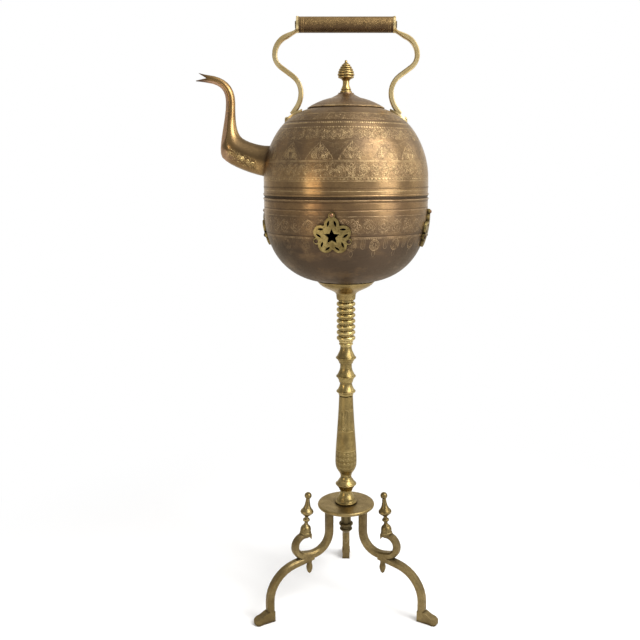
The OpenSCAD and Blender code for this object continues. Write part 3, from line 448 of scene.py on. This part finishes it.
# Bowl: the lower half, raised from sheet brass and chased, with four vents and a rolled rim. It is
# browned all over, sooty inside and burnished under the rim, with painted shade making it dark below.
def scrollwork(tree, across, up, middle, pitch, tall, half):
    """A running stem with a curl and a lobed leaf in each of its bends."""
    cell = (across / pitch).whole()
    x = across - (cell + 0.5) * pitch
    y = (up - middle) * (cell.make("FLOORED_MODULO", 2.0) * 2.0 - 1.0)
    stem = (y - (x * (math.pi / pitch)).make("COSINE") * (0.40 * tall)) * 0.75
    low = y + 0.06 * tall
    r = (x * x + low * low).make("SQRT")
    reach = 0.27 * min(pitch, tall)
    curl = scroll(tree, x, low, reach / 1.6, reach, half)
    lobes = r - ((low.make("ARCTAN2", x) * 3.5).make("COSINE").size() * (0.13 * tall) + reach)
    leaf = (lobes * 0.7).stroke(half * 0.8) * y.fade(0.42 * tall, 0.34 * tall)
    return stem.stroke(half).most(curl, leaf) * (up - middle).size().fade(0.52 * tall, 0.48 * tall)


def shaken(tree, across, up):
    """The same place, but moved a little to and fro, as a hand wanders."""
    wander = 3.6
    split = add_node(tree, "SeparateColor", {0: noise(tree, 150, 1.0)["Color"]})
    aside, aloft = [Reading(tree, split.outputs[k]) - 0.5 for k in (0, 1)]
    return across + aside * wander, up + aloft * wander


def tendrils(tree, size):
    """Fine curling lines that cross and part without a plan, the given size apart in millimetres."""
    slopes = Reading(tree, noise(tree, 1000 / size / 3, 1.5, distortion=1.1)["Fac"])
    line = ((slopes * 9.0).part() - 0.5).stroke(0.17)
    return line * clouds(tree, size * 2, 0.4, 0.6)


# The widest round of the body in millimetres, and how far its repeats are turned, in parts of a repeat.
body_radius = 108.0
body_round = 2 * math.pi * body_radius
body_turn = 0.30


def bowl_chasing(tree):
    """A scrolling band, hoops and beads over a fringe of ringed flowers with bars and pendants between."""
    stem_pitch, flower_pitch = body_round / 36, body_round / 22
    flower_height, flower_radius, flower_ring = 532.6, 6.6, 5.0
    pendant_below, bead_pitch, bead_height = 10.8, 3.1, 541.0
    across, up = round_axis(tree, body_radius)
    aside, aloft = shaken(tree, across, up)
    twigs = tendrils(tree, 2.6)
    band = scrollwork(tree, aside, aloft, 556.0, stem_pitch, 19.0, 0.40)
    band = band.most(twigs * up.between(546.5, 565.5) * 0.7)
    x = across.repeat(flower_pitch, body_turn)
    y = up - flower_height
    r = (x * x + y * y).make("SQRT")
    petals = (y.make("ARCTAN2", x) * 3.0).make("COSINE").size() * 2.0 + 1.4
    rings = (r - flower_radius).stroke(0.34).most((r - flower_ring).stroke(0.26), (r - petals).stroke(0.28))
    drop = y + pendant_below
    pendant = (x.size() - (drop * drop * -0.13 + 2.3)).stroke(0.32) * drop.between(-4.1, 4.1) * 0.5
    neck = (x.size() - 2.2).stroke(0.3).most((y - 7.6).stroke(0.3)) * x.size().fade(2.8, 2.5)
    neck = neck * y.between(6.6, 9.2)
    gap = x.size().make("MULTIPLY_ADD", -1.0, flower_pitch / 2)
    below = (y * -1.0 - 2.0).most(0.0)
    bar = ((gap * gap + below * below).make("SQRT") - 2.5).stroke(0.32)
    bar = bar.most(gap.stroke(0.25) * y.fade(-2.6, -2.2)) * y.fade(9.2, 9.0) * 0.45
    # Painted light: the fringe's lines are brighter, and its ground darker, on the right of the front where
    # the window falls, and dim on its left.
    clear = across.fade(-30.0, 20.0)
    fringe = rings.most(pendant, neck, bar) * (clear * 0.6 + 0.4)
    fringe = (fringe * 1.6).most(twigs * r.fade(flower_radius, 6.2) * 0.9) * up.fade(542.0, 541.4)
    beads = ((across / bead_pitch).part() - 0.5).size().fade(0.42, 0.30) * (up - bead_height).stroke(0.55)
    lines = hoops(up, 568.2, 574.6, 542.4, half=0.38).most(hoops(up, 587.4, half=0.8))
    dips = hoops(up, 576.4, 584.8, 543.8, half=0.8)
    matt = punched(tree, 1.3) * (up.between(546.0, 566.0) * 0.5)
    between = r.fade(flower_radius, 7.4).from_one() * pendant.from_one() * up.between(526.0, 541.0, 2.0)
    return band.most(fringe, beads, lines) - dips, (matt * 0.8).most(dips, between * (clear * 0.7 + 0.3))


def bowl_film_and_shade(tree):
    """Brown patches, painted shade that deepens towards the bottom, and little of either on the burnished
    band under the rim.
    """
    up = height(tree)
    patches = clouds(tree, 30, 0.30, 0.62, 4.0, (1, 1, 1.8))
    browned = up.between(571.0, 700.0, 5.0).from_one()
    return (patches * 0.45 + up.fade(560.0, 518.0) * 0.52 + 0.16) * (browned * 0.85 + 0.15)


def inner_face(tree, middle):
    """1 on the faces that look in towards a point on the axis at the given height."""
    x, y, z = place(tree)
    outward = add_node(tree, "CombineXYZ", {0: x, 1: y, 2: z - middle}).outputs["Vector"]
    facing = add_node(tree, "VectorMath", {0: spot(tree, "Normal"), 1: outward}, operation="DOT_PRODUCT")
    return Reading(tree, facing.outputs["Value"]).fade(2.0, -8.0)


def bowl_soot(tree):
    """An uneven sooty coat all over the inside."""
    return inner_face(tree, 560.0) * (clouds(tree, 22, 0.30, 0.70) * 0.35 + 0.55)


# The body's dirt colour, which also paints the shade in its corners and seams.
body_dirt_and_shade = (0.060, 0.036, 0.020)
body_face = (0.195, 0.122, 0.058)
body_bright = (0.37, 0.235, 0.102)
body_line = (0.50, 0.36, 0.18)
bowl_brass = old_brass("chased_bowl_brass", body_dirt_and_shade, (0.165, 0.100, 0.050), (0.32, 0.197, 0.085), 0.30,
                       chased=bowl_chasing, line=(0.34, 0.235, 0.125), film_and_shade=bowl_film_and_shade,
                       film_and_shade_colour=(0.074, 0.050, 0.032), metal=0.92, soot_and_shade=bowl_soot, pits=0.12, brushed=True)
finished("bowl", "stand", bowl_brass, soften=0.0002)

# Rosettes: four cast and pierced brass stars over the vents, each held by three copper rivets. Their
# arrises are rubbed bright, they are greener than the bowl, and their lower rivets are darker.
rosette_brass = old_brass("rosette_brass", (0.030, 0.021, 0.008), (0.130, 0.090, 0.030), (0.60, 0.47, 0.19),
                          0.34, pits=0.35)
for side in ("front", "right", "rear", "left"):
    finished("rosette_" + side, "stand", rosette_brass, soften=0.0008)


def lower_rivet_darkening(tree):
    """Dark on the two lower rivets of each star."""
    return height(tree).fade(560.0, 556.0) * 0.8


rivet_copper = old_brass("rivet_copper", (0.05, 0.028, 0.016), (0.20, 0.105, 0.055), (0.38, 0.22, 0.12), 0.36,
                         soot_and_shade=lower_rivet_darkening)
finished("rosette_rivets", "stand", rivet_copper)

# Spirit burner: a round sheet brass font in its seat inside the bowl, with a collar and a wick of
# plaited cotton, charred at its top.
burner_brass = old_brass("burner_brass", (0.05, 0.038, 0.024), (0.30, 0.22, 0.095), (0.52, 0.41, 0.20), 0.36)
finished("burner_seat", "stand", burner_brass)
finished("burner_font", "burner", burner_brass, soften=0.0003)
finished("burner_collar", "burner", burner_brass, soften=0.0002)
cotton = bpy.data.materials.new("wick_cotton")
cotton.use_nodes = True
tree = cotton.node_tree
x, y, z = place(tree)
strand = y.make("ARCTAN2", x) * 4.5
plait = (((strand + z) / 2.0).part() - 0.5).size().most((((strand - z) / 2.0).part() - 0.5).size()) * 2.0
char = (z + clouds(tree, 4, 0.3, 0.7) * 3.0).fade(528.5, 533.0)
threads = mixed(tree, plait, (0.72, 0.66, 0.54), (0.46, 0.40, 0.31))
bump = add_node(tree, "Bump", {"Distance": 0.0004, "Height": plait.from_one()})
feed(tree, tree.nodes["Principled BSDF"], {
    "Base Color": mixed(tree, char, threads, (0.03, 0.026, 0.022)), "Roughness": 0.95,
    "Normal": bump.outputs["Normal"],
})
finished("burner_wick", "burner", cotton)


# Kettle: the upper half, raised and chased, over a pan that hangs into the bowl. Its ground is brown
# and its chased lines are rubbed to gold; the metal is burnished towards the rim and tinned inside.
def lappets(tree, x, up, foot, tall, wide):
    """Pointed leaves with scalloped edges and curls inside: (lines, ground inside)."""
    rise = ((up - foot) / tall).most(0.0).make("MINIMUM", 1.0)
    side = x.size()
    scallop = ((up - foot) * (math.pi / 3.6)).make("SINE").size() * 0.9
    within = rise.make("POWER", 1.6).from_one().make("POWER", 1.25) * wide + scallop - 0.6 - side
    zone = up.between(foot, foot + tall, 0.2)
    y = up - foot
    curls = scroll(tree, side - 7.2, y - 5.6, 1.9, 4.4, 0.33)
    curls = curls.most(scroll(tree, side - 3.2, y - 12.6, 1.5, 2.9, 0.30), x.stroke(0.3) * y.fade(9.0, 10.0))
    tuft = ((side - 3.0) * 0.8 - (y - 3.0) * 0.5).stroke(0.32) * y.between(1.0, 8.0)
    inside = within.fade(0.3, 0.9) * zone
    lines = (within.stroke(0.36) * 0.7).most(curls.most(tuft) * within.fade(0.8, 1.2)) * zone
    return lines, inside


def dashes(across, up, line, pitch):
    """A row of short strokes round the piece at the given height."""
    return ((across / pitch).part() - 0.5).size().fade(0.36, 0.26) * (up - line).stroke(0.75)


def kettle_chasing(tree):
    """Two scrolling bands with sixteen pointed leaves between them, rows of strokes, hoops and grooves."""
    high_pitch, low_pitch, leaf_pitch = body_round / 56, body_round / 48, body_round / 16
    leaf_foot, leaf_tall, leaf_wide = 636.4, 22.6, 17.5
    across, up = round_axis(tree, body_radius)
    aside, aloft = shaken(tree, across, up)
    twigs = tendrils(tree, 1.7)
    high = scrollwork(tree, aside, aloft, 667.6, high_pitch, 12.4, 0.36)
    low = scrollwork(tree, aside, aloft, 625.0, low_pitch, 15.4, 0.38)
    fields = up.between(661.0, 674.4).most(up.between(616.6, 633.2), up.between(685.6, 693.0) * 0.8)
    bands = (high.most(low) * 0.55).most(twigs * fields * 1.2)
    x = across.repeat(leaf_pitch, body_turn)
    leaves, inside = lappets(tree, x, up, leaf_foot, leaf_tall, leaf_wide)
    crest = (up - (x * (2 * math.pi / leaf_pitch)).make("COSINE") * 2.2 - 657.6).stroke(0.32)
    rows = dashes(across, up, 682.0, 3.4) * 1.6
    rows = rows.most(dashes(across, up, 676.0, 4.2), dashes(across, up, 613.4, 4.8))
    lines = hoops(up, 693.9, 635.6, 634.2, 615.6, 611.0, 598.6, half=0.38)
    dips = hoops(up, 602.6, 684.6, half=0.6)
    matt = punched(tree, 1.25) * (fields * 0.5).most(inside * 0.4)
    leaves = (leaves * 1.3).most(twigs * inside * 0.9, twigs * up.between(640.0, 658.0) * 0.25, crest * 0.4)
    return bands.most(leaves, rows, lines) - dips, (matt * 0.9).most(dips)


def kettle_film(tree):
    """Brown patches, more of them above and towards the left of the front, lighter towards its right, and few
    on the burnished band below.
    """
    x, y, z = place(tree)
    patches = clouds(tree, 34, 0.30, 0.66, 4.0, (1, 1, 1.6))
    upper = z.fade(628.0, 668.0)
    left = x.fade(10.0, -100.0) - x.fade(30.0, 100.0) * 0.9
    lower = z.fade(640.0, 606.0).from_one()
    return (patches * 0.40 + upper * 0.22 + left * 0.25 + 0.05) * (lower * 0.75 + 0.25)


def base_soot(tree):
    """An uneven sooty coat from the joint with the shell downward."""
    return height(tree).fade(589.5, 584.0) * (clouds(tree, 18, 0.3, 0.7) * 0.4 + 0.5)


def kettle_tin(tree):
    """Tin all over the inside."""
    return inner_face(tree, 640.0)


def kettle_seam_shadow(tree):
    """Painted shadow: a dark line along the lower edge of the shell, in the gap above the bowl's rim."""
    return height(tree).fade(592.2, 591.2) * 0.8


kettle_brass = old_brass("chased_kettle_brass", body_dirt_and_shade, body_face, body_bright, 0.28,
                         chased=kettle_chasing, line=body_line, film_and_shade=kettle_film,
                         film_and_shade_colour=(0.120, 0.081, 0.052), metal=0.94, pits=0.12, soot_and_shade=kettle_seam_shadow,
                         lined=kettle_tin, brushed=True)
finished("kettle_shell", "kettle", kettle_brass, soften=0.0002)
base_brass = old_brass("scorched_base_brass", (0.03, 0.020, 0.013), (0.085, 0.055, 0.034),
                       (0.17, 0.11, 0.06), 0.42, metal=0.9, soot_and_shade=base_soot)
finished("kettle_base", "kettle", base_brass, soften=0.0002)
plain_brass = old_brass("plain_body_brass", body_dirt_and_shade, body_face, body_bright, 0.30, metal=0.92)
finished("mouth_ring", "kettle", plain_brass, soften=0.0002)


# Spout: a swan's neck hammered from sheet round a ridge, with an open beak. Its outer flank is a matted,
# coppery panel inside a dark line, and a spray of leaves is chased over the foot of the panel.
def flank(tree):
    """How much a place on the spout faces outward, away from the bend."""
    x, y, z = axes(tree, spot(tree, "Normal"))
    aside, aloft = x * -1.0, z * -1.0
    upright = height(tree).between(664.0, 722.0, 14.0)
    level = aside * 0.6 + aloft * 0.75
    return level + (aside - level) * upright


# The bend of the neck in millimetres along X, and how far outward a face of the panel turns at least.
bend = -137.0
panel_edge = 0.40


def spout_chasing(tree):
    """A spray of leaves along the foot of the bend, and flecks in the panel inside a dark border."""
    x, y, z = place(tree)
    outward = flank(tree)
    off_spray = z + (x - bend) * 0.46 - 638.5
    patch = x.between(-156.0, -119.0, 4.0) * off_spray.size().fade(9.0, 5.0)
    twigs = tendrils(tree, 2.0).most(scroll(tree, x.repeat(7.0), off_spray, 2.0, 3.4, 0.45))
    flecks = tendrils(tree, 1.3) * outward.fade(0.45, 0.60) * z.fade(636.0, 650.0)
    border = (outward - panel_edge).stroke(0.09) * z.fade(640.0, 652.0)
    return (twigs * patch * 2.0).most(flecks * 0.8) - border, (patch - twigs * patch).most(border)


def spout_film(tree):
    """The coppery film of the panel, which ends above the foot."""
    x, y, z = place(tree)
    neck = z.fade(634.0, 646.0).most(x.fade(-152.0, -160.0))
    return flank(tree).fade(0.42, 0.55) * neck * (clouds(tree, 12, 0.3, 0.7) * 0.3 + 0.6)


def spout_darkening(tree):
    """The dark of the beak, and that of the crown of the bend beside the body."""
    x, y, z = place(tree)
    tip = x.fade(-172.0, -192.0) * 0.75
    above_spray = (z + (x - bend) * 0.30).fade(640.0, 647.0)
    crown = x.fade(-158.0, -140.0) * above_spray * z.fade(676.0, 662.0) * 0.6
    return tip.most(crown)


spout_brass = old_brass("spout_brass", (0.045, 0.026, 0.013), (0.21, 0.125, 0.050), (0.42, 0.27, 0.11), 0.22,
                        pits=0.02, chased=spout_chasing, line=(0.66, 0.48, 0.20), film_and_shade=spout_film,
                        film_and_shade_colour=(0.44, 0.265, 0.175), soot_and_shade=spout_darkening, metal=0.98)
finished("spout", "kettle", spout_brass, edge=26)


# Handle: two bright brass arms riveted to the shoulder, a rod through them and a dark engraved sleeve
# with plain ends. The arms are bent from bar and kept clean, the sleeve is brown under its pattern, and
# painted shade darkens its lower half.
def engraved(tree):
    """Six rows of curls along the sleeve, each half a repeat on from the last, between its end lines."""
    sleeve_axis, sleeve_radius, repeat_along = 809.5, 9.5, 12.0
    repeat_round = 2 * math.pi * sleeve_radius / 6
    x, y, z = place(tree)
    across = y.make("ARCTAN2", z - sleeve_axis) * sleeve_radius
    along = x + (across / repeat_round).whole() * (repeat_along / 2)
    v = across.repeat(repeat_round)
    curls = scroll(tree, along.repeat(repeat_along), v, 2.1, 4.2, 0.42)
    vine = (v - (along * (2 * math.pi / repeat_along)).make("COSINE") * 4.2).stroke(0.45)
    field = x.size().fade(54.0, 53.4)
    ends = (x.size() - 55.0).stroke(0.5).most((x.size() - 57.0).stroke(0.5))
    lines = (curls.most(vine) * 0.5).most(tendrils(tree, 1.5) * 0.7) * field * 0.8
    return lines.most(ends), punched(tree, 1.4) * field * 0.35


def sleeve_underside_shade(tree):
    """Painted shade, brown, on the lower half of the sleeve, its underside."""
    return height(tree).fade(813.0, 804.0) * 0.75


arm_brass = old_brass("bright_arm_brass", (0.20, 0.135, 0.05), (0.50, 0.37, 0.16), (0.88, 0.73, 0.42), 0.30,
                      pits=0.0)
for node in ("handle_arm_left", "handle_arm_right"):
    finished(node, "kettle", arm_brass, soften=0.0014)
finished("handle_rivets", "kettle", arm_brass)
browned_steel = old_brass("browned_steel", (0.04, 0.03, 0.02), (0.22, 0.16, 0.09), (0.40, 0.31, 0.18), 0.36)
finished("handle_rod", "kettle", browned_steel)
sleeve_brass = old_brass("dark_sleeve_brass", (0.030, 0.018, 0.011), (0.190, 0.118, 0.050),
                         (0.32, 0.210, 0.088), 0.32, pits=0.1, chased=engraved,
                         line=(0.30, 0.200, 0.082), cut=0.0002,
                         film_and_shade=sleeve_underside_shade, film_and_shade_colour=(0.045, 0.026, 0.018))
finished("grip_sleeve", "kettle", sleeve_brass, soften=0.0003)

# Hinge: a bracket on the shoulder and a leaf on the lid, cut from sheet brass and joined by a steel pin
# behind the mouth. It is as bright as the arms.
finished("hinge_bracket", "kettle", arm_brass, soften=0.0003)
finished("hinge_pin", "kettle", steel)
finished("hinge_leaf", "lid", arm_brass, soften=0.0003)


# Lid: a low domed lid with a collar inside and an acorn-shaped knob held by a nut. The dome is plain
# but for a few thin turned rings and a painted highlight along its rim.
def lid_chasing(tree):
    """Thin rings and a painted highlight along the rim, with one groove inside it."""
    x, y, z = place(tree)
    r = (x * x + y * y).make("SQRT")
    rings = hoops(r, 48.4, 44.0, 30.0, 23.5, half=0.35)
    # Painted highlight: a bright line along the rim's edge.
    rim = r.fade(48.9, 49.6)
    return (rings * 0.6).most(rim), hoops(r, 46.6, half=0.6) * 0.5


def lid_film(tree):
    """A thin brown film with darker patches."""
    return clouds(tree, 24, 0.3, 0.66, 4.0) * 0.45 + 0.20


lid_brass = old_brass("lid_brass", body_dirt_and_shade, body_face, body_bright, 0.29, chased=lid_chasing,
                      line=body_line, film_and_shade=lid_film, film_and_shade_colour=(0.125, 0.080, 0.058), metal=0.92, shade=0.6)
finished("lid_dome", "lid", lid_brass, soften=0.0002)
finished("lid_flange", "lid", plain_brass, soften=0.0002)
knob_brass = old_brass("knob_brass", (0.07, 0.042, 0.015), (0.33, 0.22, 0.078), (0.62, 0.46, 0.19), 0.28)
finished("lid_finial", "lid", knob_brass, soften=0.0002)
finished("finial_nut", "lid", knob_brass)
